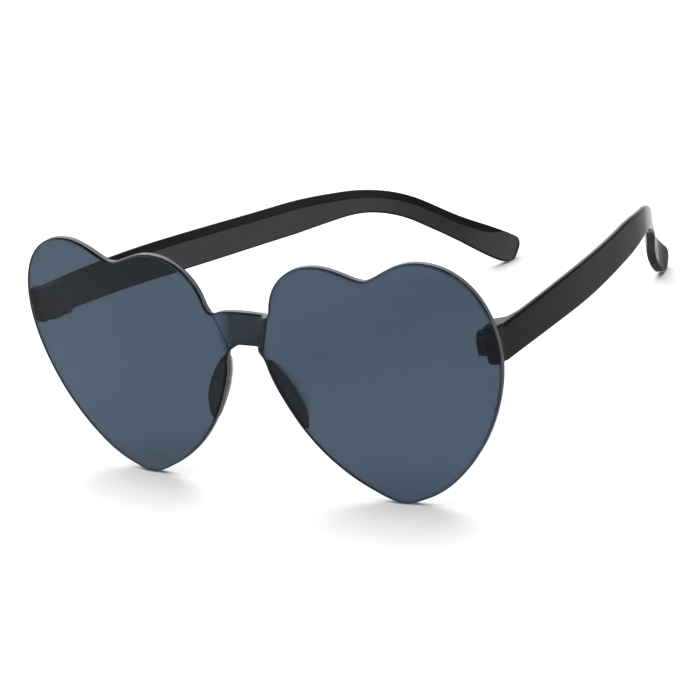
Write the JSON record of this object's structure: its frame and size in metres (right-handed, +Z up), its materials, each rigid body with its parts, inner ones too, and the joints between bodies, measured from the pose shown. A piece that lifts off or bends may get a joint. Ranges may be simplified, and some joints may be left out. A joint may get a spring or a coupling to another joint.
{
  "type": "sunglasses",
  "caption": "Rimless sunglasses with a one-piece smoke tinted front shaped as two hearts, nose pads and black folding temples.",
  "frame": {"origin": "under the middle of the open glasses, on the surface they stand on", "axes": "+X towards the wearer's left, +Y from the front back towards the temple tips, +Z up"},
  "size_m": [0.144, 0.1542, 0.062],
  "materials": {
    "tinted_sheet": "gloss, smoke blue-grey, see-through",
    "smoke_plastic": "gloss, smoke grey, translucent",
    "black_plastic": "gloss",
    "hinge_metal": "satin"
  },
  "bodies": {
    "front": {"front": "tinted_sheet", "nose_pad_left": "smoke_plastic", "nose_pad_right": "smoke_plastic", "end_plate_left": "black_plastic", "end_plate_right": "black_plastic", "front_hinge_left": "hinge_metal", "front_hinge_right": "hinge_metal", "hinge_screw_left": "hinge_metal", "hinge_screw_right": "hinge_metal"},
    "temple_left": {"temple_left": "black_plastic", "temple_hinge_left": "hinge_metal"},
    "temple_right": {"temple_right": "black_plastic", "temple_hinge_right": "hinge_metal"}
  },
  "joints": [
    {"name": "fold_left", "type": "hinge", "parent": "front", "child": "temple_left", "pos_m": [0.064, -0.06653, 0.0406], "axis": [0, 0, 1], "range_deg": [0, 76]},
    {"name": "fold_right", "type": "hinge", "parent": "front", "child": "temple_right", "pos_m": [-0.064, -0.06653, 0.0406], "axis": [0, 0, -1], "range_deg": [0, 69]}
  ]
}
